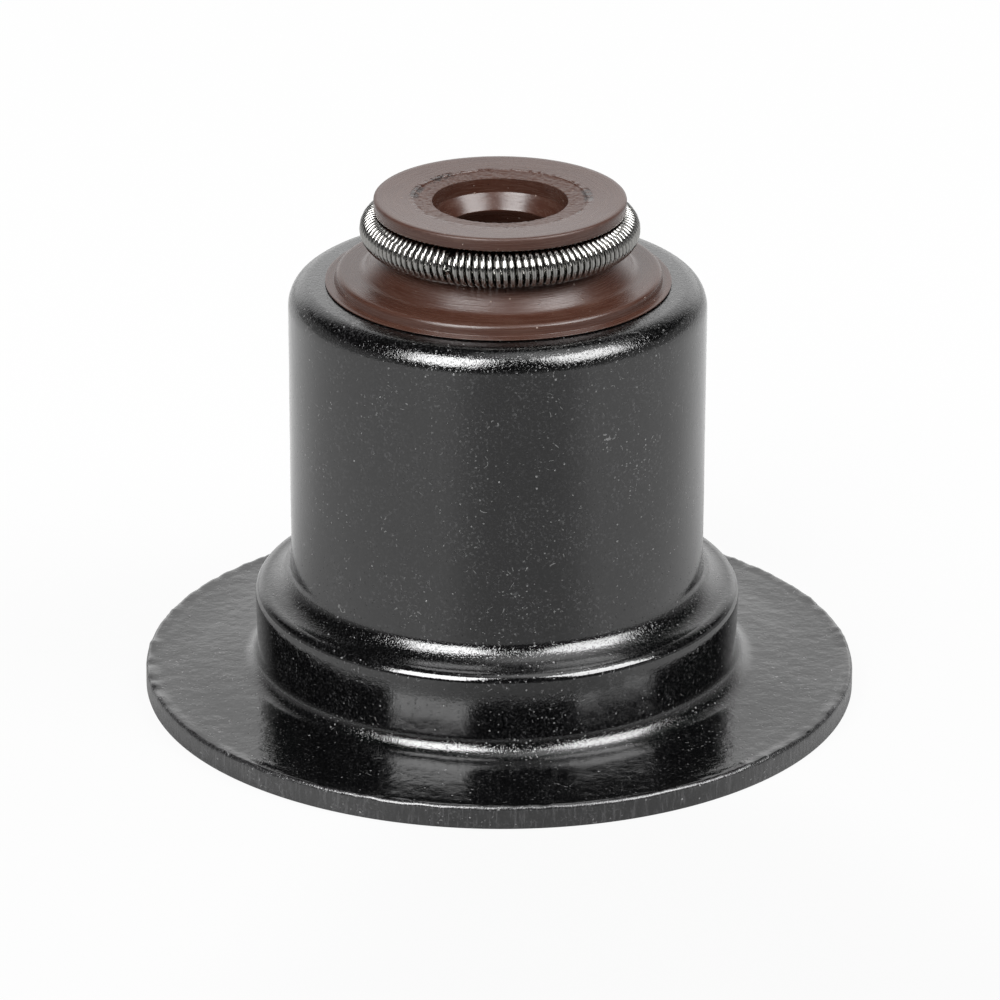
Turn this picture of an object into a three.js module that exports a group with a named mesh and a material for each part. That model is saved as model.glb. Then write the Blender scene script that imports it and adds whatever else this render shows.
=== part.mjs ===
// Valve stem seal with a built-in spring seat: a drawn steel case, the rubber element bonded to it, and the
// garter spring that presses the sealing lip onto the valve stem.
// Millimetres, +Z up along the stem. The origin is the centre of the flange's underside.

import * as THREE from "three";

// What the seal fits
const stemDiameter = 5.5;
const guideDiameter = 12.0;

// Case: one drawn sheet
const sheetThickness = 1.0;
const caseHeight = 18.6;
const collarHeight = 4.75;
const collarStep = 1.6;
const flangeWidth = 4.9;
const mouthInturn = 1.5;
const shoulderRound = 1.25;
const innerShoulderFillet = 0.25;
const bodyFootFillet = 0.88;
const innerBodyFootRound = 1.2;
const collarEdgeRound = 0.35;
const innerCollarFillet = 0.3;
const collarFootFillet = 0.85;
const flangeTopEdgeRound = 0.16;
const flangeBottomEdgeRound = 0.1;
const mouthEdgeRound = 0.1;

// Lining of the case, which grips the valve guide
const liningClearance = 0.3;
const liningThickness = 1.7;
const liningStartAboveCollar = 1.0;
const leadInHeight = 1.3;
const leadInLand = 0.5;
const ribCount = 3;
const ribWidth = 1.4;
const ribSqueeze = 0.15;
const ribCrestRound = 0.2;
const guideStopThickness = 0.8;
const guideStopFillet = 0.4;
const ventEdgeRound = 0.2;
const ventClearance = 0.85;

// Base ring of the rubber, on top of the case
const ledgeInset = 0.32;
const ledgeWidth = 0.38;
const ledgeThickness = 0.06;
const baseRingHeight = 0.54;
const baseRingDraft = 0.07;
const baseRingRound = 0.15;
const baseRingLand = 1.11;
const neckFootFillet = 0.45;

// Head of the rubber: lip, spring groove and disc
const lipSqueeze = 0.375;
const lipBelowSpring = 0.05;
const lipWall = 2.0;
const funnelHeight = 0.65;
const rimClearance = 0.15;
const trimmedRimWidth = 0.8;
const trimmedRimDrop = 0.13;
const trimmedRimStep = 0.04;
const trimmedRimStepWidth = 0.02;
const springAboveBaseRing = 1.86;
const discThickness = 0.57;
const discCover = 0.19;
const discTopEdgeRound = 0.1;
const discBottomEdgeRound = 0.06;

// Garter spring
const coilDiameter = 1.58;
const wireDiameter = 0.23;
const grooveClearance = 0.05;
const coilGap = 0.007;
const nibTurns = 2.5;
const nibClearance = 0.03;
const nibTaperTurns = 0.8;
const jointAzimuth = THREE.MathUtils.degToRad(-21.8);

// Fineness of the round surfaces
const latheSegments = 40;
const arcTolerance = 0.025;
const stepsPerTurn = 8;
const wireSides = 4;

// Radii worked out from the stem and the guide, outwards
const liningRadius = guideDiameter / 2 + liningClearance;
const ribRadius = guideDiameter / 2 - ribSqueeze;
const innerWallRadius = liningRadius + liningThickness;
const bodyRadius = innerWallRadius + sheetThickness;
const collarRadius = bodyRadius + collarStep;
const flangeRadius = collarRadius + flangeWidth;
const mouthRadius = innerWallRadius - mouthInturn;
const ledgeRadius = bodyRadius - shoulderRound - ledgeInset;
const baseRingRadius = ledgeRadius - ledgeWidth;
const neckFootRadius = baseRingRadius - baseRingDraft - baseRingLand;
const lipRadius = stemDiameter / 2 - lipSqueeze;
const rimRadius = stemDiameter / 2 + rimClearance;
const trimmedRimRadius = rimRadius + trimmedRimWidth;
const ventRadius = stemDiameter / 2 + ventClearance;
const grooveRadius = coilDiameter / 2 + grooveClearance;
const springRadius = lipRadius + lipWall + grooveRadius;
const discRadius = springRadius + discCover;
const coilRadius = (coilDiameter - wireDiameter) / 2;

// Heights, upwards
const liningStart = collarHeight + liningStartAboveCollar;
const ribZoneStart = liningStart + leadInHeight;
const guideStopHeight = caseHeight - sheetThickness - guideStopThickness;
const baseRingTop = caseHeight + baseRingHeight;
const springHeight = baseRingTop + springAboveBaseRing;
const lipHeight = springHeight - lipBelowSpring;
const discUnderside = springHeight + grooveRadius;
const discTop = discUnderside + discThickness;

const caseFinish = new THREE.MeshStandardMaterial({ color: 0x141516, roughness: 0.22, metalness: 0.4 });
const rubberFinish = new THREE.MeshStandardMaterial({ color: 0x56362d, roughness: 0.5, metalness: 0.0 });
const wireFinish = new THREE.MeshStandardMaterial({ color: 0xc9c8c4, roughness: 0.25, metalness: 1.0 });

// A corner of a section outline: where two straight edges meet, and the radius that rounds it off.
function corner(radius, height, round = 0) {
  return { point: new THREE.Vector2(radius, height), round };
}

// The points of an arc about a centre, from one angle to the other, both ends included.
function arcPoints(centre, radius, fromAngle, toAngle) {
  const finest = 2 * Math.acos(1 - Math.min(1, arcTolerance / radius));
  const steps = Math.max(2, Math.ceil(Math.abs(toAngle - fromAngle) / finest));
  return Array.from({ length: steps + 1 }, (_, i) => {
    const angle = fromAngle + ((toAngle - fromAngle) * i) / steps;
    return new THREE.Vector2(Math.cos(angle), Math.sin(angle)).multiplyScalar(radius).add(centre);
  });
}

// How far a corner's arc reaches along each of its two edges.
function arcReach(before, here, after) {
  if (here.round === 0) return 0;
  const back = before.point.clone().sub(here.point);
  const ahead = after.point.clone().sub(here.point);
  return here.round / Math.tan(back.angleTo(ahead) / 2);
}

// Turns an open run of corners into outline points. Each round corner becomes an arc that is tangent to both
// of its edges, and two arcs that would meet on an edge share its length.
function roundedRun(corners) {
  const last = corners.length - 1;
  const reaches = corners.map((here, i) =>
    i === 0 || i === last ? 0 : arcReach(corners[i - 1], here, corners[i + 1]),
  );
  const edgeShare = (i, j) => {
    const wanted = reaches[i] + reaches[j];
    return wanted > 0 ? Math.min(1, corners[i].point.distanceTo(corners[j].point) / wanted) : 1;
  };
  return corners.flatMap((here, i) => {
    if (reaches[i] === 0) return [here.point];
    const share = Math.min(edgeShare(i - 1, i), edgeShare(i, i + 1));
    const back = corners[i - 1].point.clone().sub(here.point).normalize();
    const ahead = corners[i + 1].point.clone().sub(here.point).normalize();
    const halfAngle = back.angleTo(ahead) / 2;
    const radius = here.round * share;
    const middle = back.clone().add(ahead).normalize();
    const centre = here.point.clone().add(middle.multiplyScalar(radius / Math.sin(halfAngle)));
    const start = here.point.clone().addScaledVector(back, reaches[i] * share).sub(centre).angle();
    const turn = Math.sign(-back.cross(ahead)) * (Math.PI - 2 * halfAngle);
    return arcPoints(centre, radius, start, start + turn);
  });
}

// Revolves a closed section outline, given anticlockwise, about the Z axis.
function revolved(outline) {
  return new THREE.LatheGeometry([...outline, outline[0]], latheSegments).rotateX(Math.PI / 2);
}

// The face that the case and the rubber share: over the case's top, through its mouth and down its inner wall.
function bondedFace() {
  const sheetInside = caseHeight - sheetThickness;
  return roundedRun([
    corner(ledgeRadius, caseHeight),
    corner(mouthRadius, caseHeight, mouthEdgeRound),
    corner(mouthRadius, sheetInside, mouthEdgeRound),
    corner(innerWallRadius, sheetInside, innerShoulderFillet),
    corner(innerWallRadius, liningStart),
  ]);
}

// The rest of the case's outline: the bare inside, the flange, the collar, the body and the shoulder.
function bareCaseFace() {
  const collarInside = collarHeight - sheetThickness;
  const innerCollarRadius = collarRadius - sheetThickness;
  return roundedRun([
    corner(innerWallRadius, liningStart),
    corner(innerWallRadius, collarInside, innerBodyFootRound),
    corner(innerCollarRadius, collarInside, innerCollarFillet),
    corner(innerCollarRadius, 0, collarFootFillet + sheetThickness),
    corner(flangeRadius, 0, flangeBottomEdgeRound),
    corner(flangeRadius, sheetThickness, flangeTopEdgeRound),
    corner(collarRadius, sheetThickness, collarFootFillet),
    corner(collarRadius, collarHeight, collarEdgeRound),
    corner(bodyRadius, collarHeight, bodyFootFillet),
    corner(bodyRadius, caseHeight, shoulderRound),
    corner(ledgeRadius, caseHeight),
  ]);
}

// The wall of the spring groove, from where the neck cone touches it up to the disc's underside.
function grooveWall() {
  const centre = new THREE.Vector2(springRadius, springHeight);
  const toFoot = new THREE.Vector2(neckFootRadius, baseRingTop).sub(centre);
  const coneTouch = toFoot.angle() - Math.acos(Math.min(1, grooveRadius / toFoot.length()));
  return arcPoints(centre, grooveRadius, coneTouch, Math.PI / 2);
}

// The grip ribs, evenly spaced between the lead-in and the guide's stop, from the top one down.
function gripRibs() {
  const pitch = (guideStopHeight - ribZoneStart) / ribCount;
  return Array.from({ length: ribCount }, (_, i) => {
    const crest = guideStopHeight - pitch * (i + 0.5);
    return [
      corner(liningRadius, crest + ribWidth / 2),
      corner(ribRadius, crest, ribCrestRound),
      corner(liningRadius, crest - ribWidth / 2),
    ];
  }).flat();
}

// The rubber's free face: ledge, base ring, neck, groove, disc, rim, lip, vent, guide stop and ribbed lining.
function freeRubberFace() {
  return roundedRun([
    corner(ledgeRadius, caseHeight),
    corner(ledgeRadius, caseHeight + ledgeThickness),
    corner(baseRingRadius, caseHeight + ledgeThickness),
    corner(baseRingRadius - baseRingDraft, baseRingTop, baseRingRound),
    corner(neckFootRadius, baseRingTop, neckFootFillet),
    ...grooveWall().map((point) => corner(point.x, point.y)),
    corner(discRadius, discUnderside, discBottomEdgeRound),
    corner(discRadius, discTop, discTopEdgeRound),
    corner(trimmedRimRadius, discTop),
    corner(trimmedRimRadius - trimmedRimStepWidth, discTop - trimmedRimStep),
    corner(rimRadius, discTop - trimmedRimDrop),
    corner(rimRadius, lipHeight + funnelHeight),
    corner(lipRadius, lipHeight),
    corner(ventRadius, caseHeight),
    corner(ventRadius, guideStopHeight, ventEdgeRound),
    corner(liningRadius, guideStopHeight, guideStopFillet),
    ...gripRibs(),
    corner(liningRadius, ribZoneStart),
    corner(innerWallRadius - leadInLand, liningStart),
    corner(innerWallRadius, liningStart),
  ]);
}

function caseGeometry() {
  return revolved([...bondedFace(), ...bareCaseFace().slice(1, -1)]);
}

function rubberGeometry() {
  return revolved([...bondedFace().reverse(), ...freeRubberFace().slice(1, -1)]);
}

// The centre line of the garter spring's wire: a right-handed coil bent into a ring. Its last turns taper to
// the nib, which lies inside the first turns.
class GarterSpringPath extends THREE.Curve {
  constructor() {
    super();
    const innerCircumference = 2 * Math.PI * (springRadius - coilRadius);
    this.ringTurns = Math.floor(innerCircumference / (wireDiameter + coilGap));
    this.allTurns = this.ringTurns + nibTurns;
    this.nibRadius = coilRadius * Math.cos(Math.PI / stepsPerTurn) - wireDiameter - nibClearance;
  }

  // Steps along the wire are equal parts of a turn, so that every turn has its corners at the same places.
  getUtoTmapping(u) {
    return u;
  }

  getPoint(t, target = new THREE.Vector3()) {
    const turn = t * this.allTurns;
    const azimuth = jointAzimuth + (2 * Math.PI * turn) / this.ringTurns;
    const tapered = THREE.MathUtils.smoothstep(turn, this.ringTurns - nibTaperTurns, this.ringTurns);
    const radius = THREE.MathUtils.lerp(coilRadius, this.nibRadius, tapered);
    const coilAngle = -2 * Math.PI * turn;
    const fromAxis = springRadius + radius * Math.cos(coilAngle);
    return target.set(
      fromAxis * Math.sin(azimuth),
      -fromAxis * Math.cos(azimuth),
      springHeight + radius * Math.sin(coilAngle),
    );
  }
}

function springGeometry() {
  const path = new GarterSpringPath();
  const corners = Array.from({ length: wireSides }, (_, i) => {
    const angle = (2 * Math.PI * i) / wireSides;
    return new THREE.Vector2(Math.cos(angle), Math.sin(angle)).multiplyScalar(wireDiameter / 2);
  });
  return new THREE.ExtrudeGeometry(new THREE.Shape(corners), {
    extrudePath: path,
    steps: Math.ceil(path.allTurns * stepsPerTurn),
    bevelEnabled: false,
  });
}

function namedMesh(name, geometry, material) {
  const mesh = new THREE.Mesh(geometry, material);
  mesh.name = name;
  return mesh;
}

const valveStemSeal = new THREE.Group();
valveStemSeal.name = "valve_stem_seal";
valveStemSeal.add(
  namedMesh("metal_case", caseGeometry(), caseFinish),
  namedMesh("rubber_element", rubberGeometry(), rubberFinish),
  namedMesh("garter_spring", springGeometry(), wireFinish),
);

export default valveStemSeal;
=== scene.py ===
"""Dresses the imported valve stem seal: its black coated case, its rubber element and its garter spring.

Lengths in the classes are millimetres, as in the part's source, and meshes are written in metres. The
origin is the centre of the flange's underside, +Z runs up along the valve stem, and the camera looks from
-Y. Azimuth 0 is the side that faces the camera, and it grows towards +X.
"""

import logging
import math
from dataclasses import dataclass, field
from enum import Enum
from typing import Any, Callable, Mapping, Sequence, Union

import bpy
import numpy as np
from mathutils import Matrix, Vector

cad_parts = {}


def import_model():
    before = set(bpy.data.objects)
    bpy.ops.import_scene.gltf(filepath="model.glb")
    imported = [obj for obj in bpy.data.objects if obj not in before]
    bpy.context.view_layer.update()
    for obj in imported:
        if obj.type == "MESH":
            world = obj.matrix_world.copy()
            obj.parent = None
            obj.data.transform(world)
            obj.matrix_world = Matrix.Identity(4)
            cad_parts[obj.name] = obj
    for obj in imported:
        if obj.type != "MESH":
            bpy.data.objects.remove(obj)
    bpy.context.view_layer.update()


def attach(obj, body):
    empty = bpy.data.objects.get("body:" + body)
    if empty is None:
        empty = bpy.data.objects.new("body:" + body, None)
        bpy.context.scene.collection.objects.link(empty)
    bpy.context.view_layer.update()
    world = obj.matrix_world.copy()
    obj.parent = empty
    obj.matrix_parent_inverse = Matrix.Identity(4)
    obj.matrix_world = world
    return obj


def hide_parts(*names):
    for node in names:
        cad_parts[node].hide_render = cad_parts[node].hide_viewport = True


MM = 0.001
BODY = "root"
log = logging.getLogger("valve_stem_seal")


# Outlines and surfaces


@dataclass(frozen=True)
class Corner:
    """A corner of a section outline, with the radius that rounds it off."""

    radius: float
    height: float
    round: float = 0.0

    @property
    def point(self) -> np.ndarray:
        """The corner's place in the section, as radius and height."""
        return np.array([self.radius, self.height])


def arc_points(centre: np.ndarray, radius: float, start: float, end: float, step: float) -> np.ndarray:
    """Points on an arc: centre + radius (cos a, sin a), with a from start to end.

    Args:
        centre: The arc's centre in the section.
        radius: The arc's radius.
        start: The first angle.
        end: The last angle.
        step: The longest step between two points.

    Returns:
        The points, both ends included.
    """
    count = max(3, math.ceil(abs(end - start) * radius / step))
    angle = np.linspace(start, end, count + 1)
    return centre + radius * np.stack([np.cos(angle), np.sin(angle)], axis=1)


def rounded_run(corners: Sequence[Corner], step: float) -> np.ndarray:
    """Turns an open run of corners into points. A corner of angle 2h and radius r gets the arc that touches
    both edges r / tan h away from it, and two arcs that would meet on an edge share its length.

    Args:
        corners: The corners, in order.
        step: The longest step between two points on an arc.

    Returns:
        The points of the run.
    """
    spots = [corner.point for corner in corners]

    def half_angle(i: int) -> float:
        """Half the angle between the two edges of corner i."""
        back = spots[i - 1] - spots[i]
        ahead = spots[i + 1] - spots[i]
        return 0.5 * math.acos(np.clip(back @ ahead / np.linalg.norm(back) / np.linalg.norm(ahead), -1, 1))

    inner = range(1, len(corners) - 1)
    reach = [0.0] * len(corners)
    for i in inner:
        if corners[i].round > 0:
            reach[i] = corners[i].round / math.tan(half_angle(i))

    def share(i: int, j: int) -> float:
        """The part of their wanted reach that corners i and j can have on the edge between them."""
        wanted = reach[i] + reach[j]
        return min(1.0, float(np.linalg.norm(spots[i] - spots[j])) / wanted) if wanted > 0 else 1.0

    run = [spots[0][None, :]]
    for i in inner:
        if reach[i] == 0:
            run.append(spots[i][None, :])
            continue
        part = min(share(i - 1, i), share(i, i + 1))
        radius = corners[i].round * part
        back = (spots[i - 1] - spots[i]) / np.linalg.norm(spots[i - 1] - spots[i])
        ahead = (spots[i + 1] - spots[i]) / np.linalg.norm(spots[i + 1] - spots[i])
        middle = (back + ahead) / np.linalg.norm(back + ahead)
        centre = spots[i] + middle * radius / math.sin(half_angle(i))
        first = spots[i] + back * reach[i] * part - centre
        start = math.atan2(first[1], first[0])
        turn = math.copysign(math.pi - 2 * half_angle(i), -(back[0] * ahead[1] - back[1] * ahead[0]))
        run.append(arc_points(centre, radius, start, start + turn, step))
    run.append(spots[-1][None, :])
    return np.concatenate(run)


def two_arc_corner(at: Corner, before: np.ndarray, first: float, second: float, turn: float) -> list[Corner]:
    """Rounds a square corner with two arcs that meet tangent to each other. With t1 = r1 tan(turn / 2) and
    t2 = r2 tan(45 - turn / 2), the first arc's own corner lies (t1 + t2) cos(turn) before the square one and
    the second arc's corner (t1 + t2) sin(turn) after it.

    Args:
        at: The square corner, with the sign of its turn in `round`: 1 to the left, -1 to the right.
        before: The unit direction in which the outline comes to it.
        first: The first arc's radius.
        second: The second arc's radius.
        turn: The first arc's turn in degrees.

    Returns:
        The two corners that take the place of the square one.
    """
    share = math.radians(turn)
    reach = first * math.tan(share / 2) + second * math.tan(math.pi / 4 - share / 2)
    after = at.round * np.array([-before[1], before[0]])
    one = at.point - before * reach * math.cos(share)
    two = at.point + after * reach * math.sin(share)
    return [Corner(*one.tolist(), first), Corner(*two.tolist(), second)]


def closed_outline(runs: Sequence[np.ndarray], step: Callable[[np.ndarray], np.ndarray]) -> np.ndarray:
    """Joins runs into one closed outline and divides its long edges evenly.

    Args:
        runs: Runs of points that follow each other round the section, anticlockwise.
        step: Gives the longest edge wanted at each of the points it is handed.

    Returns:
        The outline's points, without the first one again at its end.
    """
    points = np.concatenate(runs)
    ahead = np.roll(points, -1, axis=0)
    length = np.linalg.norm(ahead - points, axis=1)
    points, ahead, length = points[length > 1e-6], ahead[length > 1e-6], length[length > 1e-6]
    parts = np.maximum(1, np.ceil(length / step((points + ahead) / 2))).astype(int)
    index = np.repeat(np.arange(len(points)), parts)
    within = np.arange(len(index)) - np.repeat(np.cumsum(parts) - parts, parts)
    along = (within / parts[index])[:, None]
    return points[index] * (1 - along) + ahead[index] * along


def outline_normals(outline: np.ndarray) -> np.ndarray:
    """Outward unit normals of a closed anticlockwise outline: the tangent (dr, dz) turned to (dz, -dr)."""
    tangent = np.roll(outline, -1, axis=0) - np.roll(outline, 1, axis=0)
    normal = np.stack([tangent[:, 1], -tangent[:, 0]], axis=1)
    return normal / np.linalg.norm(normal, axis=1, keepdims=True)


def lattice_noise(across: np.ndarray, along: np.ndarray, wrap: int, seed: int) -> np.ndarray:
    """Value noise from -1 to 1: random numbers on a unit lattice, blended with 3t^2 - 2t^3 each way.

    Args:
        across: First coordinate in cells, which repeats every `wrap` cells.
        along: Second coordinate in cells.
        wrap: The number of cells round the part.
        seed: The seed of the random numbers.

    Returns:
        The noise, in the shape that the two coordinates broadcast to.
    """
    rows = 512
    table = np.random.default_rng(seed).uniform(-1, 1, (wrap, rows))
    across, along = np.broadcast_arrays(across, along)
    i, j = np.floor(across).astype(int), np.floor(along).astype(int)
    u, v = across - i, along - j
    u, v = u * u * (3 - 2 * u), v * v * (3 - 2 * v)
    i0, i1, j0, j1 = i % wrap, (i + 1) % wrap, j % rows, (j + 1) % rows
    low = table[i0, j0] * (1 - u) + table[i1, j0] * u
    high = table[i0, j1] * (1 - u) + table[i1, j1] * u
    return low * (1 - v) + high * v


def bump_at(value: np.ndarray, centre: float, width: float) -> np.ndarray:
    """A smooth bell: exp(-((value - centre) / width)^2)."""
    return np.exp(-(((value - centre) / width) ** 2))


def grid_object(name: str, points: np.ndarray, closed: tuple[bool, bool]) -> bpy.types.Object:
    """Makes a smooth quad mesh from a grid of points. Its first direction crossed with its second one
    points out of the surface.

    Args:
        name: The object's name.
        points: Array of shape (m, n, 3), in millimetres.
        closed: Whether each of the grid's two directions joins its own start. An open second direction gets
            a flat cap at each end of the first one.

    Returns:
        The object, linked to the scene.
    """
    m, n = points.shape[:2]
    index = np.arange(m * n).reshape(m, n)
    if closed[0]:
        index = np.concatenate([index, index[:1]])
    if closed[1]:
        index = np.concatenate([index, index[:, :1]], axis=1)
    corners = [index[:-1, :-1], index[1:, :-1], index[1:, 1:], index[:-1, 1:]]
    quads = np.stack(corners, axis=-1).reshape(-1, 4)
    starts = np.arange(len(quads)) * 4
    loops = quads.ravel()
    if not closed[0]:
        caps = [np.arange(n)[::-1], np.arange(n) + (m - 1) * n]
        starts = np.concatenate([starts, [len(loops), len(loops) + n]])
        loops = np.concatenate([loops, *caps])
    mesh = bpy.data.meshes.new(name)
    mesh.vertices.add(m * n)
    mesh.vertices.foreach_set("co", (points * MM).astype(np.float32).ravel())
    mesh.loops.add(len(loops))
    mesh.loops.foreach_set("vertex_index", loops.astype(np.int32))
    mesh.polygons.add(len(starts))
    mesh.polygons.foreach_set("loop_start", starts.astype(np.int32))
    mesh.polygons.foreach_set("use_smooth", np.ones(len(starts), dtype=bool))
    mesh.update(calc_edges=True)
    mesh.validate()
    piece = bpy.data.objects.new(name, mesh)
    bpy.context.scene.collection.objects.link(piece)
    return piece


def revolved(outline: np.ndarray, azimuth: np.ndarray, relief: np.ndarray) -> np.ndarray:
    """Carries a section round the axis: x = r sin a, y = -r cos a, with each point first moved along its
    outline normal by its relief.

    Args:
        outline: Closed anticlockwise outline, shape (n, 2).
        azimuth: Azimuths in radians, shape (m,).
        relief: Height of the surface over the plain section, shape (m, n).

    Returns:
        The surface points, shape (m, n, 3).
    """
    normal = outline_normals(outline)
    radius = outline[:, 0] + relief * normal[:, 0]
    height = outline[:, 1] + relief * normal[:, 1]
    turn = azimuth[:, None]
    return np.stack([radius * np.sin(turn), -radius * np.cos(turn), height], axis=-1)


def set_off(points: np.ndarray, heights: Sequence[float], shifts: Sequence[float]) -> np.ndarray:
    """Sets a piece a little off the axis along X, as drawing and trimming leave it. The shift changes with
    height along straight lines between the given places.

    Args:
        points: Surface points, shape (m, n, 3).
        heights: The heights where the shift is given.
        shifts: The shift at each of them.

    Returns:
        The moved points.
    """
    moved = points.copy()
    moved[..., 0] += np.interp(points[..., 2], heights, shifts)
    return moved


# Shader maths


class Socket:
    """A number on a node's output. Arithmetic on it adds Math nodes to its tree."""

    def __init__(self, graph: "Graph", output: bpy.types.NodeSocket) -> None:
        """Keeps the graph and the output socket."""
        self.graph = graph
        self.output = output

    def __add__(self, other: "Number") -> "Socket":
        """self + other."""
        return self.graph.math("ADD", self, other)

    def __sub__(self, other: "Number") -> "Socket":
        """self - other."""
        return self.graph.math("SUBTRACT", self, other)

    def __rsub__(self, other: "Number") -> "Socket":
        """other - self."""
        return self.graph.math("SUBTRACT", other, self)

    def __mul__(self, other: "Number") -> "Socket":
        """self * other."""
        return self.graph.math("MULTIPLY", self, other)

    def __truediv__(self, other: "Number") -> "Socket":
        """self / other."""
        return self.graph.math("DIVIDE", self, other)

    __radd__ = __add__
    __rmul__ = __mul__


Number = Union[Socket, float, int]
Colour = tuple[float, float, float]
Inputs = Mapping[Union[str, int], Any]


class Graph:
    """Builds the node tree of a material or of the world."""

    def __init__(self, tree: bpy.types.NodeTree) -> None:
        """Empties the tree."""
        self.tree = tree
        tree.nodes.clear()

    def node(self, kind: str, settings: Mapping[str, Any], inputs: Inputs) -> bpy.types.Node:
        """Adds a node.

        Args:
            kind: The node's type.
            settings: Its properties, set first.
            inputs: Values, colours or links for its sockets, by name or number.

        Returns:
            The node.
        """
        made = self.tree.nodes.new(kind)
        for key, value in settings.items():
            setattr(made, key, value)
        for key, value in inputs.items():
            socket = made.inputs[key]
            if isinstance(value, Socket):
                self.tree.links.new(value.output, socket)
            elif isinstance(value, bpy.types.NodeSocket):
                self.tree.links.new(value, socket)
            elif isinstance(value, tuple) and socket.type == "RGBA":
                socket.default_value = (*value, 1.0)
            else:
                socket.default_value = value
        return made

    def math(self, operation: str, first: Number, second: Number = 0.0) -> Socket:
        """One Math node on one or two numbers."""
        made = self.node("ShaderNodeMath", {"operation": operation}, {0: first, 1: second})
        return Socket(self, made.outputs[0])

    def scaled(self, vector: bpy.types.NodeSocket, scale: float) -> bpy.types.NodeSocket:
        """The vector times a number."""
        inputs = {0: vector, "Scale": scale}
        return self.node("ShaderNodeVectorMath", {"operation": "SCALE"}, inputs).outputs["Vector"]

    def moved(self, vector: bpy.types.NodeSocket, step: tuple[float, float, float]) -> bpy.types.NodeSocket:
        """The vector plus a constant step."""
        inputs = {0: vector, 1: step}
        return self.node("ShaderNodeVectorMath", {"operation": "ADD"}, inputs).outputs["Vector"]

    def dot(self, vector: bpy.types.NodeSocket, other: tuple[float, float, float]) -> Socket:
        """The dot product of the vector and a constant one."""
        made = self.node("ShaderNodeVectorMath", {"operation": "DOT_PRODUCT"}, {0: vector, 1: other})
        return Socket(self, made.outputs["Value"])

    def join(self, x: Number, y: Number, z: Number) -> bpy.types.NodeSocket:
        """The vector (x, y, z)."""
        return self.node("ShaderNodeCombineXYZ", {}, {0: x, 1: y, 2: z}).outputs[0]

    def split(self, vector: bpy.types.NodeSocket) -> tuple[Socket, Socket, Socket]:
        """The three numbers of a vector."""
        made = self.node("ShaderNodeSeparateXYZ", {}, {0: vector})
        return Socket(self, made.outputs[0]), Socket(self, made.outputs[1]), Socket(self, made.outputs[2])

    def rise(self, value: Number, low: float, high: float) -> Socket:
        """0 below `low`, 1 above `high`, with the smooth step 3t^2 - 2t^3 between them."""
        settings = {"interpolation_type": "SMOOTHSTEP", "clamp": True}
        made = self.node("ShaderNodeMapRange", settings, {0: value, 1: low, 2: high, 3: 0.0, 4: 1.0})
        return Socket(self, made.outputs[0])

    def band(self, value: Number, low: float, high: float, edge: float) -> Socket:
        """1 between `low` and `high`, fading to 0 over `edge` on both sides."""
        return self.rise(value, low - edge, low + edge) * (1 - self.rise(value, high - edge, high + edge))

    def noise(self, vector: Any, scale: float, detail: float = 2.0, roughness: float = 0.5) -> Socket:
        """Perlin noise, about 0.5 on average."""
        inputs = {"Vector": vector, "Scale": scale, "Detail": detail, "Roughness": roughness}
        made = self.node("ShaderNodeTexNoise", {"noise_dimensions": "3D"}, inputs)
        return Socket(self, made.outputs[0])

    def cells(self, vector: Any, scale: float) -> tuple[Socket, Socket]:
        """The distance to the nearest of scattered points, in cells, and a random number for that point."""
        made = self.node("ShaderNodeTexVoronoi", {"feature": "F1"}, {"Vector": vector, "Scale": scale})
        random = self.split(made.outputs["Color"])[0]
        return Socket(self, made.outputs["Distance"]), random

    def specks(self, vector: Any, scale: float, size: float, kept: float) -> Socket:
        """Round specks, 1 inside and 0 outside.

        Args:
            vector: Coordinates in millimetres.
            scale: Scattered points a millimetre.
            size: The largest speck's radius in millimetres; the others are smaller at random.
            kept: The share of the points that carries a speck.

        Returns:
            The mask.
        """
        distance, random = self.cells(vector, scale)
        largest = size * scale
        room = self.rise(random, 1 - kept, 1.0) * largest
        return 1 - self.rise(distance - room, -0.25 * largest, 0.1 * largest)

    def mix(self, factor: Number, first: Any, second: Any) -> bpy.types.NodeSocket:
        """The colour between two colours, by a factor."""
        settings = {"data_type": "RGBA", "blend_type": "MIX"}
        return self.node("ShaderNodeMix", settings, {0: factor, 6: first, 7: second}).outputs[2]

    def bump(self, height: Socket) -> bpy.types.NodeSocket:
        """The normal of a surface that stands `height` millimetres proud."""
        made = self.node("ShaderNodeBump", {}, {"Strength": 1.0, "Distance": MM, "Height": height})
        return made.outputs[0]


@dataclass
class Place:
    """Where a shaded point lies on the part, in millimetres, read from the Object coordinates."""

    graph: Graph
    spot: bpy.types.NodeSocket = field(init=False)
    x: Socket = field(init=False)
    y: Socket = field(init=False)
    height: Socket = field(init=False)
    radius: Socket = field(init=False)

    def __post_init__(self) -> None:
        """Adds the coordinate nodes: radius = sqrt(x^2 + y^2), height = z."""
        graph = self.graph
        coordinates = graph.node("ShaderNodeTexCoord", {}, {}).outputs["Object"]
        self.spot = graph.scaled(coordinates, 1 / MM)
        self.x, self.y, self.height = graph.split(self.spot)
        self.radius = graph.math("SQRT", self.x * self.x + self.y * self.y)

    def turned(self, round_scale: float, along_scale: float) -> bpy.types.NodeSocket:
        """Coordinates for marks that follow the turning direction: the unit vector from the axis times
        `round_scale`, with (height - 0.8 radius) times `along_scale` as the third number."""
        graph = self.graph
        across = self.x / self.radius * round_scale
        ahead = self.y / self.radius * round_scale
        return graph.join(across, ahead, (self.height - self.radius * 0.8) * along_scale)

    def towards(self, azimuth: float) -> Socket:
        """The cosine of the angle between the point's azimuth and the given one, in degrees."""
        turn = math.radians(azimuth)
        return (self.x * math.sin(turn) - self.y * math.cos(turn)) / self.radius


# Finishes


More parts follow.
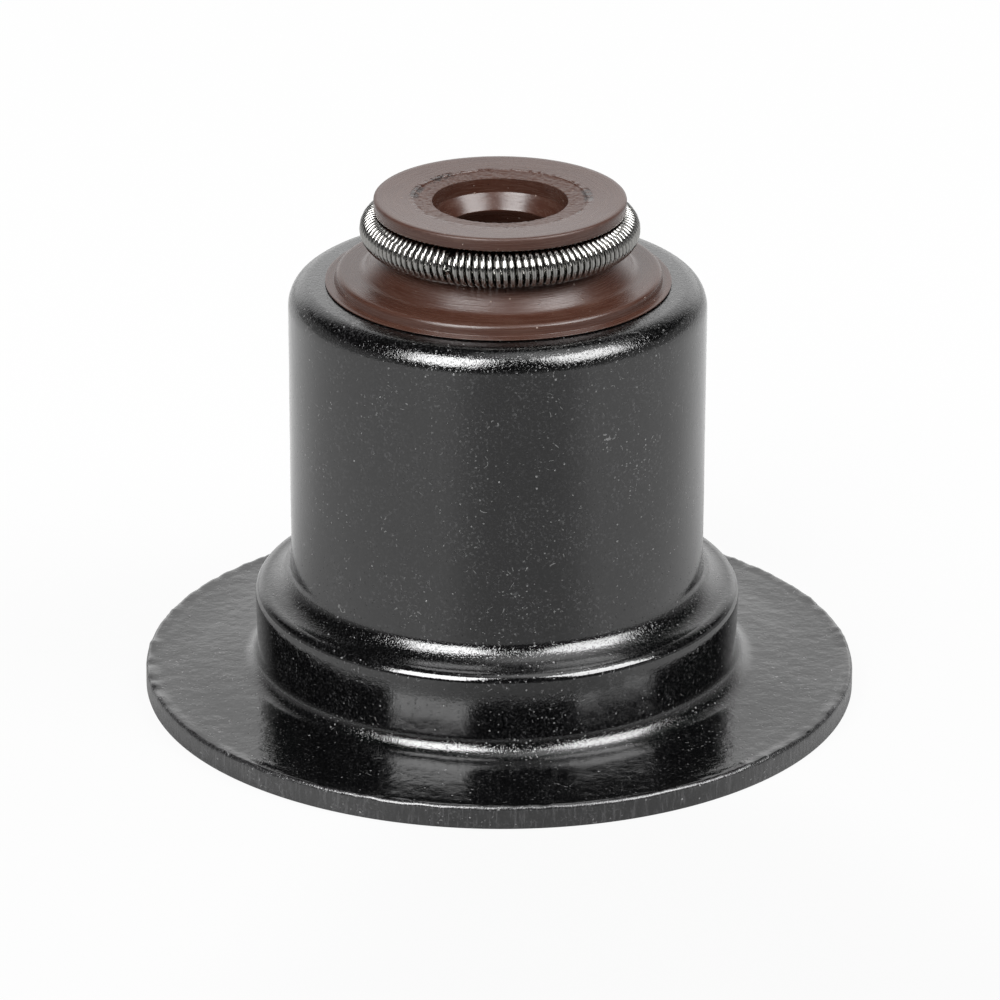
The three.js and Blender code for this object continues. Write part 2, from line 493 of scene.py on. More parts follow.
def new_material(name: str) -> tuple[bpy.types.Material, Graph]:
    """Makes an empty node material.

    Args:
        name: The material's name.

    Returns:
        The material and the graph of its tree.
    """
    material = bpy.data.materials.new(name)
    material.use_nodes = True
    return material, Graph(material.node_tree)


def finish_surface(graph: Graph, inputs: Inputs) -> None:
    """Ends a material with one Principled shader that takes the given inputs."""
    shader = graph.node("ShaderNodeBsdfPrincipled", {}, inputs)
    graph.node("ShaderNodeOutputMaterial", {}, {"Surface": shader.outputs[0]})


@dataclass(frozen=True)
class BlackCoat:
    """Gloss black coat on drawn steel, rougher where the steel was bent, with grain, pits, dust specks,
    short chains of pale marks, a soft orange peel on the flange and the shearing marks of its edge. The
    edge's side is also painted paler: partly a thinner coat there, partly a painted reflection of the floor."""

    name: str = "gloss_black_coat"
    colour: Colour = (0.0006, 0.0006, 0.0007)
    grain_colour: Colour = (0.040, 0.040, 0.041)
    dust_colour: Colour = (0.22, 0.22, 0.22)
    ior: float = 1.8
    roughness: float = 0.09
    flange_top: float = 1.0
    flange_radius: float = 15.5
    collar_top: float = 4.75
    shoulder_start: float = 17.5

    def material(self) -> bpy.types.Material:
        """Builds the material.

        Returns:
            The material.
        """
        made, graph = new_material(self.name)
        place = Place(graph)
        spot = place.spot

        grain = graph.noise(spot, 8.0, 3.0, 0.65)
        patches = graph.rise(graph.noise(spot, 0.55, 3.0, 0.6), 0.42, 0.60)
        shoulder = graph.rise(place.height, self.shoulder_start, self.shoulder_start + 0.4)
        body_foot = graph.band(place.height, self.collar_top - 0.05, self.collar_top + 0.85, 0.12)
        collar_foot = graph.band(place.height, self.flange_top + 0.12, self.flange_top + 0.8, 0.1)
        bent = graph.math("MAXIMUM", shoulder, graph.math("MAXIMUM", body_foot, collar_foot))
        flecks = graph.rise(grain, 0.54, 0.66) * (0.3 + 0.7 * patches)
        clusters = graph.rise(graph.noise(spot, 0.35, 2.0, 0.5), 0.45, 0.60)
        mottle = graph.rise(graph.noise(spot, 14.0, 1.0, 0.5), 0.48, 0.75)
        pits = graph.specks(spot, 6.0, 0.05, 0.8)
        dust = graph.specks(spot, 2.6, 0.050, 0.45)
        small_dust = graph.specks(spot, 6.0, 0.048, 0.5) * (0.1 + 0.9 * clusters)
        wander = graph.math("ABSOLUTE", graph.noise(spot, 0.9, 1.0, 0.5) - 0.5)
        chains = 1 - graph.rise(wander, 0.003, 0.009)
        chains = chains * graph.rise(graph.noise(spot, 6.5, 1.0, 0.5), 0.54, 0.62)
        chains = chains * graph.rise(graph.noise(spot, 0.7, 1.0, 0.5), 0.54, 0.60)

        side = graph.rise(place.radius, self.flange_radius - 0.12, self.flange_radius - 0.02)
        striations = graph.noise(graph.join(place.x, place.y, place.height * 0.12), 9.0, 3.0, 0.7)
        low = 1 - graph.rise(place.height, self.flange_top + 0.05, self.flange_top + 0.25)
        top_side = low * (1 - side)
        peel = graph.noise(spot, 1.6, 3.0, 0.5)

        marks = (mottle * 0.20 + flecks * 0.75) * (1 - top_side * 0.6) * (1 - bent * 0.4)
        # side * 0.2 paints the flange's side paler: partly its thinner coat, partly a painted reflection of
        # the floor
        shade = graph.mix(marks + side * 0.2, self.colour, self.grain_colour)
        shade = graph.mix(graph.rise(striations, 0.48, 0.68) * side * 0.9, shade, self.grain_colour)
        shade = graph.mix(chains * 0.45, shade, self.dust_colour)
        shade = graph.mix(small_dust * 0.42 * (1 - top_side * 0.6), shade, self.dust_colour)
        shade = graph.mix(dust * 0.6, shade, self.dust_colour)

        height = grain * (0.0014 + 0.0035 * patches + 0.0050 * bent) + mottle * (0.0008 + 0.0034 * bent)
        height = height - pits * 0.006 + dust * 0.008
        height = height + graph.noise(spot, 3.5, 1.0, 0.5) * 0.0025 + peel * top_side * 0.020
        height = height + striations * side * 0.02

        roughness = self.roughness + bent * 0.02 + dust * 0.3 + small_dust * 0.2 + side * 0.12
        look = {"Base Color": shade, "Roughness": roughness, "IOR": self.ior, "Normal": graph.bump(height)}
        finish_surface(graph, look)
        return made


@dataclass(frozen=True)
class MouldedRubber:
    """Reddish brown moulded rubber with fine turned streaks, and a rough ring where the flash was trimmed,
    torn at a few places on its border."""

    name: str = "brown_fluorocarbon_rubber"
    colour: Colour = (0.037, 0.0135, 0.0085)
    pale_colour: Colour = (0.064, 0.034, 0.025)
    dark_colour: Colour = (0.010, 0.0045, 0.0035)
    dust_colour: Colour = (0.24, 0.18, 0.15)
    ior: float = 1.5
    roughness: float = 0.23
    trimmed_radius: float = 3.7
    disc_top: float = 22.41
    disc_radius: float = 5.405
    torn_azimuths: tuple[float, ...] = (-102.0, -134.0, 97.0)

    def material(self) -> bpy.types.Material:
        """Builds the material.

        Returns:
            The material.
        """
        made, graph = new_material(self.name)
        place = Place(graph)
        spot = place.spot

        streaks = graph.noise(place.turned(2.2, 9.0), 1.6, 3.0, 0.65)
        fine_streaks = graph.noise(place.turned(5.0, 22.0), 1.6, 2.0, 0.6)
        blotches = graph.noise(spot, 0.8, 3.0, 0.55)
        grain = graph.noise(spot, 9.0, 2.0, 0.6)
        top = graph.rise(place.height, self.disc_top - 0.24, self.disc_top - 0.18)
        beyond = graph.rise(place.radius, self.trimmed_radius - 0.03, self.trimmed_radius + 0.03)
        trimmed = top * (1 - beyond)
        dust = graph.specks(spot, 2.6, 0.045, 0.55)
        dark_specks = graph.specks(graph.moved(spot, (7.3, 2.1, 5.7)), 2.8, 0.045, 0.5)
        edge = graph.band(place.height, self.disc_top - 0.16, self.disc_top, 0.03)
        edge = edge * graph.rise(place.radius, self.disc_radius - 0.12, self.disc_radius - 0.04)
        worn = graph.rise(graph.noise(spot, 7.0, 2.0, 0.6), 0.50, 0.62) * edge
        near = sum(
            graph.rise(place.towards(azimuth), math.cos(math.radians(14)), math.cos(math.radians(7)))
            for azimuth in self.torn_azimuths
        )
        border = graph.band(place.radius, self.trimmed_radius - 0.16, self.trimmed_radius + 0.22, 0.06)
        torn = top * border * near
        torn = torn * graph.rise(graph.noise(spot, 5.0, 2.0, 0.6), 0.42, 0.50)

        shade = graph.mix(graph.rise(streaks, 0.38, 0.66) * 0.45, self.colour, self.pale_colour)
        shade = graph.mix(graph.rise(blotches, 0.45, 0.75) * 0.25, shade, self.pale_colour)
        rough = graph.rise(grain, 0.40, 0.65) * trimmed
        shade = graph.mix(rough * 0.8 + worn * 0.5, shade, self.pale_colour)
        shade = graph.mix(dark_specks * 0.6, shade, self.dark_colour)
        shade = graph.mix(torn * 0.9, shade, self.dark_colour)
        shade = graph.mix(dust * 0.8, shade, self.dust_colour)

        height = streaks * 0.0050 + fine_streaks * 0.0045 + grain * (0.0010 + 0.020 * trimmed)
        height = height + dust * 0.010 - torn * 0.03
        roughness = self.roughness + streaks * 0.08 + trimmed * 0.12 + edge * 0.15 + dust * 0.2
        look = {"Base Color": shade, "Roughness": roughness, "IOR": self.ior, "Normal": graph.bump(height)}
        finish_surface(graph, look)
        return made


@dataclass(frozen=True)
class BrightWire:
    """Bright drawn steel wire with a fine grain and a few dull spots."""

    name: str = "bright_spring_wire"
    colour: Colour = (0.35, 0.345, 0.33)
    dull_colour: Colour = (0.19, 0.18, 0.17)
    roughness: float = 0.10

    def material(self) -> bpy.types.Material:
        """Builds the material.

        Returns:
            The material.
        """
        made, graph = new_material(self.name)
        place = Place(graph)
        spots = graph.rise(graph.noise(place.spot, 5.0, 3.0, 0.65), 0.52, 0.72)
        grain = graph.noise(place.spot, 18.0, 2.0, 0.6)
        finish_surface(
            graph,
            {
                "Base Color": graph.mix(spots * 0.4, self.colour, self.dull_colour),
                "Metallic": 1.0,
                "Roughness": self.roughness + grain * 0.06 + spots * 0.10,
                "Normal": graph.bump(grain * 0.0005),
            },
        )
        return made


# The seal's pieces


@dataclass
class MetalCase:
    """The drawn case, open at both ends: a flange with a sheared edge, a collar, the body, the shoulder."""

    sheet: float = 1.0
    height: float = 18.6
    body_radius: float = 9.0
    inner_radius: float = 8.0
    mouth_radius: float = 6.5
    mouth_edge_round: float = 0.1
    mouth_flat: float = 0.9
    collar_radius: float = 10.6
    collar_height: float = 4.75
    flange_radius: float = 15.5
    shoulder_rounds: tuple[float, float, float] = (1.24, 0.90, 34.0)
    inner_shoulder_fillet: float = 0.25
    body_foot_fillets: tuple[float, float, float] = (1.2, 0.6, 58.0)
    inner_body_foot_round: float = 1.2
    inner_collar_round: float = 0.3
    collar_edge_round: float = 0.45
    collar_undercut: float = 0.10
    collar_foot_fillet: float = 0.80
    flange_bend_radius: float = 13.6
    flange_bend_round: float = 30.0
    flange_rise: float = 0.10
    flange_top_round: float = 0.16
    flange_bottom_round: float = 0.1
    edge_bulge: float = 0.05
    nick_azimuth: float = math.radians(-80.0)
    off_heights: tuple[float, ...] = (1.0, 1.9, 4.7, 18.6)
    off_shifts: tuple[float, ...] = (0.0, -0.11, -0.11, -0.14)
    azimuth_steps: int = 430
    coarse_step: float = 0.9
    fine_step: float = 0.11
    coat: BlackCoat = field(default_factory=BlackCoat)

    def outline(self) -> np.ndarray:
        """The section's outline, anticlockwise from the mouth round the bare inside, the flange, the collar,
        the body and the shoulder.

        Returns:
            The outline's points.
        """
        inner_collar = self.collar_radius - self.sheet
        collar_foot = self.collar_radius - self.collar_undercut
        mouth_start = Corner(self.mouth_radius + self.mouth_flat, self.height)
        body_foot = Corner(self.body_radius, self.collar_height, -1)
        shoulder = Corner(self.body_radius, self.height, 1)
        inwards, upwards = np.array([-1.0, 0.0]), np.array([0.0, 1.0])
        corners = [
            mouth_start,
            Corner(self.mouth_radius, self.height, self.mouth_edge_round),
            Corner(self.mouth_radius, self.height - self.sheet, self.mouth_edge_round),
            Corner(self.inner_radius, self.height - self.sheet, self.inner_shoulder_fillet),
            Corner(self.inner_radius, self.collar_height - self.sheet, self.inner_body_foot_round),
            Corner(inner_collar, self.collar_height - self.sheet, self.inner_collar_round),
            Corner(inner_collar, 0, self.collar_foot_fillet + self.sheet),
            Corner(self.flange_radius, 0, self.flange_bottom_round),
            Corner(self.flange_radius, self.sheet, self.flange_top_round),
            Corner(self.flange_bend_radius, self.sheet, self.flange_bend_round),
            Corner(collar_foot, self.sheet + self.flange_rise, self.collar_foot_fillet),
            Corner(self.collar_radius, self.collar_height, self.collar_edge_round),
            *two_arc_corner(body_foot, inwards, *self.body_foot_fillets),
            *two_arc_corner(shoulder, upwards, *self.shoulder_rounds),
            mouth_start,
        ]
        return closed_outline([rounded_run(corners, self.fine_step)], self.edge_step)

    def edge_step(self, places: np.ndarray) -> np.ndarray:
        """Fine steps on the outside, finest at the flange's edge, and coarse ones inside."""
        outside = (places[:, 0] > self.body_radius - 0.1) & (places[:, 1] > 0.05)
        near_edge = (places[:, 0] > self.flange_radius - 0.6) & (places[:, 1] > 0.05)
        return np.where(near_edge, self.fine_step, np.where(outside, 2.4 * self.fine_step, self.coarse_step))

    def relief(self, outline: np.ndarray, azimuth: np.ndarray) -> np.ndarray:
        """Height of the real surface over the plain section: a low waviness on the outside, the bulge of the
        sheared edge, and a burr of lattice noise along the flange's top edge, rougher near the nicks.

        Args:
            outline: The section's points.
            azimuth: The azimuths.

        Returns:
            The relief in millimetres.
        """
        radius, height = outline[None, :, 0], outline[None, :, 1]
        turn = (azimuth / (2 * np.pi))[:, None]
        outside = (height > 0.5) & (radius > self.body_radius - 1.3)
        waves = lattice_noise(turn * 24, (radius + height) * 0.5, 24, 3) * 0.008
        edge = bump_at(np.hypot(radius - (self.flange_radius - 0.08), height - self.sheet), 0.0, 0.11)
        burr = lattice_noise(turn * 160, radius * 0 + 0.5, 160, 5)
        burr = burr + 0.6 * lattice_noise(turn * 420, radius * 0, 420, 8)
        nicked = bump_at(np.angle(np.exp(1j * (azimuth - self.nick_azimuth)))[:, None], 0.0, 0.22)
        bulge = np.clip((radius - (self.flange_radius - 0.3)) / 0.3, 0, 1) * self.edge_bulge
        bulge = bulge * (height > 0.02)
        return outside * waves + edge * (0.010 + (0.045 + 0.045 * nicked) * burr) + bulge

    def build(self) -> bpy.types.Object:
        """Makes the case and dresses it.

        Returns:
            The case.
        """
        azimuth = np.linspace(0, 2 * np.pi, self.azimuth_steps, endpoint=False)
        outline = self.outline()
        surface = revolved(outline, azimuth, self.relief(outline, azimuth))
        surface = set_off(surface, self.off_heights, self.off_shifts)
        piece = grid_object("case_shell", surface, (True, True))
        piece.data.materials.append(self.coat.material())
        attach(piece, BODY)
        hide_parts("metal_case")
        return piece


@dataclass
class RubberElement:
    """The rubber moulding: ledge, base ring, neck cone, spring groove, head disc, rim, lip and lining."""

    ledge_radius: float = 7.43
    ledge_top: float = 18.69
    ring_radius: float = 7.05
    ledge_lift: float = 0.05
    ledge_edge_round: float = 0.02
    ring_top: float = 19.14
    ring_draft: float = 0.07
    ring_edge_round: float = 0.2
    neck_foot_radius: float = 5.87
    neck_fillet: float = 0.45
    spring_radius: float = 5.215
    spring_height: float = 21.0
    groove_radius: float = 0.84
    disc_radius: float = 5.405
    disc_under: float = 21.84
    disc_top: float = 22.41
    disc_dish: float = 0.07
    disc_under_round: float = 0.06
    disc_edge_round: float = 0.1
    trimmed_radius: float = 3.7
    trimmed_step: float = 0.035
    rim_radius: float = 2.9
    rim_drop: float = 0.17
    funnel_top: float = 21.6
    lip_radius: float = 2.375
    lip_height: float = 20.95
    vent_radius: float = 3.6
    stop_height: float = 16.8
    stop_round: float = 0.4
    lining_radius: float = 6.3
    rib_radius: float = 5.85
    rib_count: int = 3
    rib_width: float = 1.4
    rib_round: float = 0.2
    lead_in_top: float = 7.05
    lining_start: float = 5.75
    inner_wall_radius: float = 8.0
    case_height: float = 18.6
    sheet: float = 1.0
    mouth_radius: float = 6.5
    bond_gap: float = 0.01
    bond_border: float = 0.15
    off_heights: tuple[float, ...] = (5.75, 18.6, 19.1, 22.4)
    off_shifts: tuple[float, ...] = (-0.11, -0.12, -0.07, -0.05)
    azimuth_steps: int = 444
    fine_step: float = 0.07
    coarse_step: float = 1.5
    rubber: MouldedRubber = field(default_factory=MouldedRubber)

    def outline(self) -> np.ndarray:
        """The section's outline, anticlockwise: up the bonded face through the case's mouth, then over the
        ledge, ring, neck, groove, disc, rim and lip, and down the vent and the ribbed lining.

        Returns:
            The outline's points.
        """
        wall = self.inner_wall_radius - self.bond_gap
        under = self.case_height - self.sheet - self.bond_gap
        mouth = self.mouth_radius - self.bond_gap
        border = Corner(self.ledge_radius - self.bond_border, self.case_height + self.bond_gap)
        bonded = [
            Corner(wall, self.lining_start),
            Corner(wall, under, 0.25),
            Corner(mouth, under, 0.1),
            Corner(mouth, self.case_height + self.bond_gap, 0.1),
            border,
        ]
        centre = np.array([self.spring_radius, self.spring_height])
        to_foot = np.array([self.neck_foot_radius, self.ring_top]) - centre
        reach = float(np.linalg.norm(to_foot))
        touch = math.atan2(to_foot[1], to_foot[0]) - math.acos(min(1.0, self.groove_radius / reach))
        groove = arc_points(centre, self.groove_radius, touch + 2 * math.pi, math.pi / 2, self.fine_step)
        base = [
            border,
            Corner(self.ledge_radius, self.case_height + self.ledge_lift, self.ledge_edge_round / 2),
            Corner(self.ledge_radius, self.ledge_top, self.ledge_edge_round),
            Corner(self.ring_radius, self.ledge_top, self.ledge_edge_round),
            Corner(self.ring_radius - self.ring_draft, self.ring_top, self.ring_edge_round),
            Corner(self.neck_foot_radius, self.ring_top, self.neck_fillet),
            Corner(float(groove[0, 0]), float(groove[0, 1])),
        ]
        pitch = (self.stop_height - self.lead_in_top) / self.rib_count
        crests = [self.stop_height - pitch * (i + 0.5) for i in range(self.rib_count)]
        ribs = [
            corner
            for crest in crests
            for corner in (
                Corner(self.lining_radius, crest + self.rib_width / 2),
                Corner(self.rib_radius, crest, self.rib_round),
                Corner(self.lining_radius, crest - self.rib_width / 2),
            )
        ]
        dish_edge = self.disc_top - self.disc_dish
        head = [
            Corner(float(groove[-1, 0]), float(groove[-1, 1])),
            Corner(self.disc_radius, self.disc_under, self.disc_under_round),
            Corner(self.disc_radius, self.disc_top, self.disc_edge_round),
            Corner(self.trimmed_radius, dish_edge, 0.01),
            Corner(self.trimmed_radius - 0.02, dish_edge - self.trimmed_step, 0.01),
            Corner(self.rim_radius, self.disc_top - self.rim_drop, 0.03),
            Corner(self.rim_radius, self.funnel_top, 0.05),
            Corner(self.lip_radius, self.lip_height, 0.04),
            Corner(self.vent_radius, self.case_height),
            Corner(self.vent_radius, self.stop_height, 0.2),
            Corner(self.lining_radius, self.stop_height, self.stop_round),
            *ribs,
            Corner(self.lining_radius, self.lead_in_top),
            Corner(self.inner_wall_radius - 0.5, self.lining_start),
            Corner(wall, self.lining_start),
        ]
        seen_base, seen_head = rounded_run(base, self.fine_step), rounded_run(head, self.fine_step)
        return closed_outline([rounded_run(bonded, 0.2), seen_base, groove, seen_head], self.edge_step)

    def edge_step(self, places: np.ndarray) -> np.ndarray:
        """Fine steps above the case, finest on the trimmed rim, and coarse ones inside."""
        seen = places[:, 1] > self.case_height
        trimmed = (places[:, 1] > self.disc_top - 0.25) & (places[:, 0] < self.trimmed_radius + 0.15)
        return np.where(trimmed, 0.045, np.where(seen, 2.2 * self.fine_step, self.coarse_step))

    def relief(self, outline: np.ndarray, azimuth: np.ndarray) -> np.ndarray:
        """Height of the real surface over the plain section: the torn face of the trimmed rim, by lattice
        noise that fades out at its border, and a low waviness above the case.

        Args:
            outline: The section's points.
            azimuth: The azimuths.

        Returns:
            The relief in millimetres.
        """
        radius, height = outline[None, :, 0], outline[None, :, 1]
        turn = (azimuth / (2 * np.pi))[:, None]
        rim = (height > self.disc_top - 0.25) * np.clip((self.trimmed_radius + 0.1 - radius) / 0.1, 0, 1)
        rim = rim * np.clip((height - (self.disc_top - 0.24)) / 0.05, 0, 1)
        torn = lattice_noise(turn * 150, radius * 7, 150, 21)
        torn = torn + 0.7 * lattice_noise(turn * 300, radius * 14, 300, 22)
        waves = lattice_noise(turn * 16, (radius + height) * 0.4, 16, 23) * 0.004
        return rim * torn * 0.014 + waves * (height > self.case_height + 0.1)

    def build(self) -> bpy.types.Object:
        """Makes the rubber element and dresses it.

        Returns:
            The rubber element.
        """
        azimuth = np.linspace(0, 2 * np.pi, self.azimuth_steps, endpoint=False)
        outline = self.outline()
        surface = revolved(outline, azimuth, self.relief(outline, azimuth))
        surface = set_off(surface, self.off_heights, self.off_shifts)
        piece = grid_object("rubber_moulding", surface, (True, True))
        piece.data.materials.append(self.rubber.material())
        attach(piece, BODY)
        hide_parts("rubber_element")
        return piece


@dataclass
class GarterSpring:
    """The garter spring: a close wound coil made into a ring, its tapered nib screwed into its other end."""

    ring_radius: float = 5.215
    ring_height: float = 21.0
    coil_radius: float = 0.675
    wire_radius: float = 0.115
    ring_turns: int = 120
    nib_turns: float = 2.5
    nib_taper: float = 0.8
    nib_radius: float = 0.36
    joint_azimuth: float = math.radians(-21.8)
    off_shift: float = -0.055
    steps_per_turn: int = 30
    wire_sides: int = 12
    wire: BrightWire = field(default_factory=BrightWire)

    def centre_line(self) -> tuple[np.ndarray, np.ndarray]:
        """The wire's centre line, and the unit direction from the coil's core to it. With t turns, azimuth
        a = joint + 2 pi t / ring turns and coil angle c = -2 pi t, the core is at R (sin a, -cos a) and
        the direction is cos c (sin a, -cos a, 0) + sin c (0, 0, 1). Two slow sines make the pitch a little
        uneven, and the coil is narrower at the joint.

        Returns:
            The points and the directions, both of shape (n, 3).
        """
        turns = self.ring_turns + self.nib_turns
        turn = np.linspace(0, turns, int(turns * self.steps_per_turn) + 1)
        uneven = 0.030 * np.sin(turn * 1.93) + 0.022 * np.sin(turn * 0.71 + 1.0)
        azimuth = self.joint_azimuth + 2 * np.pi * (turn + uneven) / self.ring_turns
        coil = -2 * np.pi * turn
        tapered = np.clip((turn - (self.ring_turns - self.nib_taper)) / self.nib_taper, 0, 1)
        tapered = tapered * tapered * (3 - 2 * tapered)
        narrow = 0.035 * (np.exp(-((turn / 1.6) ** 2)) + np.exp(-(((turn - self.ring_turns) / 2.2) ** 2)))
        full = self.coil_radius * (1 - narrow + 0.006 * np.sin(turn * 2.7))
        radius = full + (self.nib_radius - full) * tapered
        outwards = np.stack([np.sin(azimuth), -np.cos(azimuth), np.zeros_like(azimuth)], axis=1)
        upwards = np.array([0.0, 0.0, 1.0])
        direction = outwards * np.cos(coil)[:, None] + upwards * np.sin(coil)[:, None]
        core = outwards * self.ring_radius + upwards * self.ring_height
        return core + direction * radius[:, None], direction

    def build(self) -> bpy.types.Object:
        """Makes the spring and dresses it. The wire's skin is line + w (cos b N - sin b B), where N is the
        direction from the core squared to the line's tangent T, and B = T x N.

        Returns:
            The spring.
        """
        line, direction = self.centre_line()
        tangent = np.gradient(line, axis=0)
        tangent /= np.linalg.norm(tangent, axis=1, keepdims=True)
        normal = direction - tangent * np.sum(direction * tangent, axis=1, keepdims=True)
        normal /= np.linalg.norm(normal, axis=1, keepdims=True)
        side = np.cross(tangent, normal)
        around = np.linspace(0, 2 * np.pi, self.wire_sides, endpoint=False)[None, :, None]
        across = np.cos(around) * normal[:, None, :] - np.sin(around) * side[:, None, :]
        skin = line[:, None, :] + self.wire_radius * across
        piece = grid_object("garter_coil", skin + [self.off_shift, 0.0, 0.0], (False, True))
        piece.data.materials.append(self.wire.material())
        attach(piece, BODY)
        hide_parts("garter_spring")
        return piece


# The studio


class Side(Enum):
    """The two soft boxes, named by the side they stand on."""

    LEFT = "left"
    RIGHT = "right"


@dataclass(frozen=True)
class SoftBox:
    """An upright soft box, by the angles that it fills as seen from the seal."""

    side: Side
    azimuth: float
    elevation: float
    width: float
    height: float
    radiance: float
    distance: float = 1.5

    def build(self) -> bpy.types.Object:
        """Makes the lamp. A side of angular width w at distance d is 2 d tan(w / 2) long, and radiance L
        over an area A takes L pi A watts.

        Returns:
            The lamp.
        """
        lamp = bpy.data.lights.new(f"soft_box_{self.side.value}", "AREA")
        lamp.shape = "RECTANGLE"
        lamp.size = 2 * self.distance * math.tan(math.radians(self.width) / 2)
        lamp.size_y = 2 * self.distance * math.tan(math.radians(self.height) / 2)
        lamp.energy = self.radiance * math.pi * lamp.size * lamp.size_y
        azimuth, elevation = math.radians(self.azimuth), math.radians(self.elevation)
        flat = math.cos(elevation)
        spot = Vector((flat * math.sin(azimuth), -flat * math.cos(azimuth), math.sin(elevation)))
        made = bpy.data.objects.new(lamp.name, lamp)
        turned = (-spot).to_track_quat("-Z", "Y").to_matrix().to_4x4()
        made.matrix_world = Matrix.Translation(spot * self.distance) @ turned
        bpy.context.scene.collection.objects.link(made)
        return made


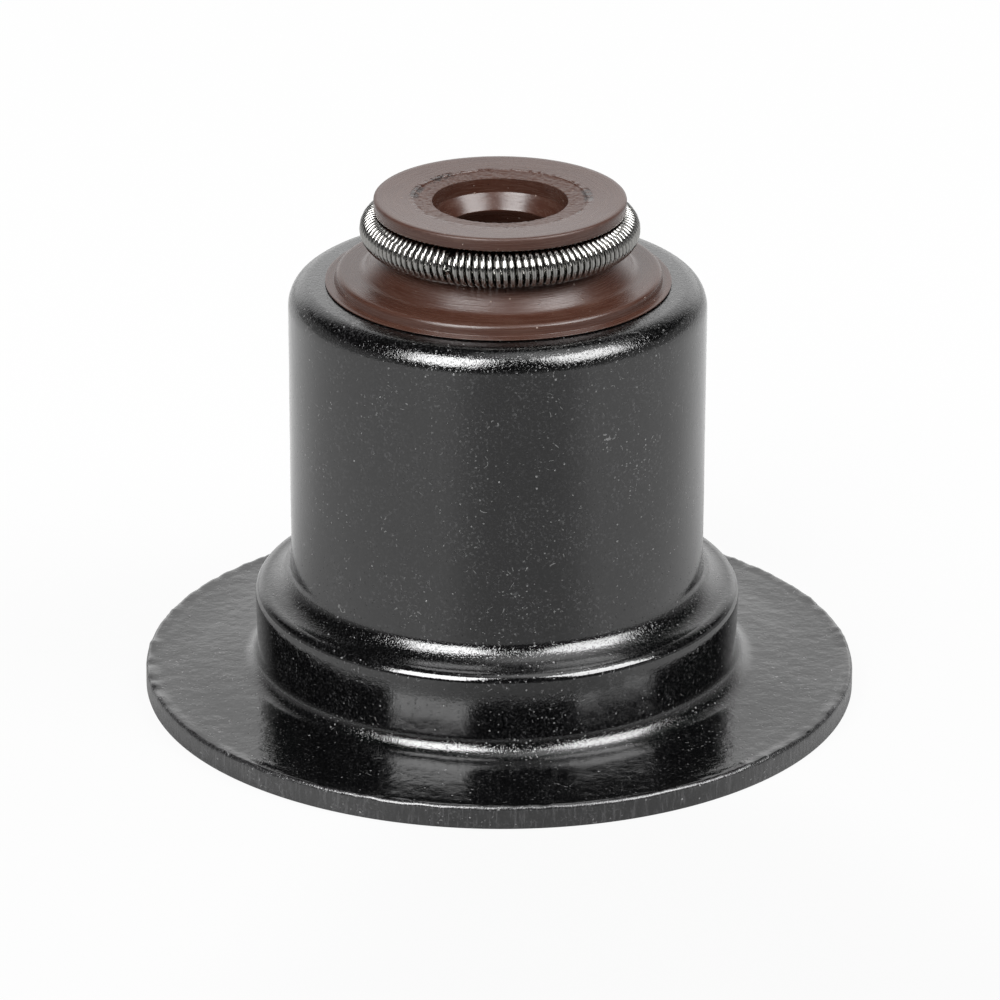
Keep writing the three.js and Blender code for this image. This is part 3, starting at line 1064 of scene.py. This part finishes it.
@dataclass
class Studio:
    """The camera, the soft boxes, the pale floor and the light all round."""

    camera_spot: tuple[float, float, float] = (0.0, -0.22161, 0.09991)
    camera_pitch: float = 22.435
    camera_roll: float = 0.251
    camera_lens: float = 198.0
    floor_radius: float = 3.0
    floor_drop: float = 0.00002
    paper_sides: float = 0.36
    paper_behind_painted_light: float = 0.47
    paper_front_painted_shade: float = 0.215
    paper_glow: float = 0.93
    sky_all_round: float = 0.018
    sky_behind: float = 0.92
    sky_low_behind: float = 0.45
    sky_sides: float = 0.30
    sky_ahead: float = 0.14
    sky_high_patch: float = 1.4
    boxes: tuple[SoftBox, ...] = (
        SoftBox(Side.LEFT, azimuth=-32.5, elevation=43.5, width=34.0, height=37.0, radiance=13.0),
        SoftBox(Side.RIGHT, azimuth=60.0, elevation=44.5, width=36.0, height=32.0, radiance=9.8),
    )

    def build_camera(self) -> None:
        """Sets the camera at the photograph's place, pitched down and rolled a little about its own axis."""
        camera = bpy.data.cameras.new("camera")
        camera.sensor_width = 36.0
        camera.lens = self.camera_lens
        camera.clip_start = 0.01
        made = bpy.data.objects.new("camera", camera)
        pitch = Matrix.Rotation(math.radians(90.0 - self.camera_pitch), 4, "X")
        roll = Matrix.Rotation(math.radians(self.camera_roll), 4, "Z")
        made.matrix_world = Matrix.Translation(self.camera_spot) @ pitch @ roll
        bpy.context.scene.collection.objects.link(made)
        bpy.context.scene.camera = made

    def build_floor(self) -> None:
        """Lays the floor: a disc just under the seal. The camera sees it nearly white, with a faint shadow,
        and its colour carries painted shade in front and painted light behind, which is what the front of
        the case mirrors."""
        turn = np.linspace(0, 2 * np.pi, 128, endpoint=False)
        rim = np.stack([np.cos(turn), np.sin(turn), turn * 0], axis=1) * self.floor_radius
        mesh = bpy.data.meshes.new("floor")
        mesh.from_pydata((rim - [0, 0, self.floor_drop]).tolist(), [], [list(range(len(rim)))])
        floor = bpy.data.objects.new("floor", mesh)
        bpy.context.scene.collection.objects.link(floor)
        floor.data.materials.append(self.floor_material())

    def floor_material(self) -> bpy.types.Material:
        """Matt paper: a diffuse shader that is painted darker in front and paler behind, as painted shade
        and painted light, and for camera rays mostly a white glow, so that only a faint shadow shows.

        Returns:
            The material.
        """
        made, graph = new_material("pale_paper")
        place = Place(graph)
        # Painted light and shade on the floor: its tone is darker in front and paler behind, standing in for
        # how the light falls
        front = graph.rise(place.towards(12.0), math.cos(math.radians(40)), math.cos(math.radians(6)))
        back = graph.rise(place.towards(180.0), math.cos(math.radians(85)), math.cos(math.radians(40)))
        paper = graph.mix(back, (self.paper_sides,) * 3, (self.paper_behind_painted_light,) * 3)
        paper = graph.mix(front, paper, (self.paper_front_painted_shade,) * 3)
        matt = graph.node("ShaderNodeBsdfDiffuse", {}, {"Color": paper})
        glow = graph.node("ShaderNodeEmission", {}, {"Color": (1.0, 1.0, 1.0), "Strength": 1.0})
        seen = Socket(graph, graph.node("ShaderNodeLightPath", {}, {}).outputs["Is Camera Ray"])
        shares = {0: seen * self.paper_glow, 1: matt.outputs[0], 2: glow.outputs[0]}
        mixed = graph.node("ShaderNodeMixShader", {}, shares)
        graph.node("ShaderNodeOutputMaterial", {}, {"Surface": mixed.outputs[0]})
        return made

    @staticmethod
    def patch(
        graph: Graph, direction: bpy.types.NodeSocket, azimuth: float, elevation: float, reach: float
    ) -> Socket:
        """A soft patch of sky: 1 at the given azimuth and elevation, fading to 0 `reach` degrees away."""
        turn, rise = math.radians(azimuth), math.radians(elevation)
        centre = (math.cos(rise) * math.sin(turn), -math.cos(rise) * math.cos(turn), math.sin(rise))
        return graph.rise(graph.dot(direction, centre), math.cos(math.radians(reach)), 0.995)

    def build_world(self) -> None:
        """Lights the sky by direction: white behind the seal up to about 40 degrees, dim low down at the
        sides and dimmer in front, a dark ceiling, and one soft patch high up on the right."""
        world = bpy.data.worlds.new("studio")
        bpy.context.scene.world = world
        world.use_nodes = True
        graph = Graph(world.node_tree)
        direction = graph.node("ShaderNodeTexCoord", {}, {}).outputs["Generated"]
        x, y, z = graph.split(direction)
        flat = graph.math("SQRT", x * x + y * y) + 0.0001
        back = graph.rise(y / flat, 0.66, 0.96)
        front = graph.rise(0 - y / flat, 0.3, 0.85)
        low = 1 - graph.rise(z, 0.33, 0.42)
        behind = back * (1 - graph.rise(z, 0.52, 0.71)) * (self.sky_behind + low * self.sky_low_behind)
        sides = (1 - back) * (1 - front) * (1 - graph.rise(z, 0.16, 0.40)) * self.sky_sides
        ahead = front * (1 - graph.rise(z, 0.02, 0.30)) * self.sky_ahead
        high = self.patch(graph, direction, 75.0, 70.0, 32.0) * self.sky_high_patch
        level = self.sky_all_round + behind + sides + ahead + high
        grey = graph.join(level, level, level)
        sky = graph.node("ShaderNodeBackground", {}, {"Color": grey, "Strength": 1.0})
        white = graph.node("ShaderNodeBackground", {}, {"Color": (1.0, 1.0, 1.0), "Strength": 1.0})
        seen = graph.node("ShaderNodeLightPath", {}, {}).outputs["Is Camera Ray"]
        mixed = graph.node("ShaderNodeMixShader", {}, {0: seen, 1: sky.outputs[0], 2: white.outputs[0]})
        graph.node("ShaderNodeOutputWorld", {}, {"Surface": mixed.outputs[0]})

    def build(self) -> None:
        """Builds the whole studio and sets the plain view transform."""
        self.build_camera()
        self.build_floor()
        self.build_world()
        for box in self.boxes:
            log.info("lamp %s", box.build().name)
        bpy.context.scene.view_settings.view_transform = "Standard"


def main() -> None:
    """Loads the frame, builds the studio and the pieces in order, and logs each piece's face count."""
    logging.basicConfig(level=logging.INFO, format="%(message)s")
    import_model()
    Studio().build()
    for piece in (MetalCase().build(), RubberElement().build(), GarterSpring().build()):
        log.info("%s: %d faces", piece.name, len(piece.data.polygons))


if __name__ == "__main__":
    main()
